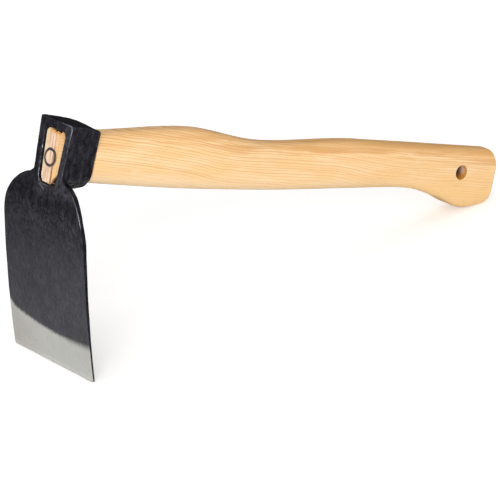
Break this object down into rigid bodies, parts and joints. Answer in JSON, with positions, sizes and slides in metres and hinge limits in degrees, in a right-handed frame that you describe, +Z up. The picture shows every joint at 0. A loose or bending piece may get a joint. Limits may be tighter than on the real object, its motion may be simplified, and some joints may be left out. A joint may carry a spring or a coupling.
{
  "type": "hand hoe",
  "caption": "Hand hoe with a forged, lacquered steel head, a straight ground cutting edge, and a short sculpted ash handle held in a tapered eye by a steel ring wedge.",
  "frame": {"origin": "bottom centre of the bounding box of the tool as it stands on its cutting edge and the drop of its butt", "axes": "+X from the head towards the butt of the handle, +Y across the tool towards the side away from the picture's camera, +Z up"},
  "size_m": [0.3486, 0.082, 0.1476],
  "materials": {
    "black_lacquered_steel": "near-black satin lacquer over forged steel, worn bright on the front rim and ground bare along the cutting edge",
    "ash": "pale ash, sanded and lightly oiled, grain along the handle",
    "wedge_steel": "dark, hammered steel"
  },
  "bodies": {
    "root": {"forged_head": "black_lacquered_steel", "handle": "ash", "ring_wedge": "wedge_steel"}
  },
  "joints": []
}
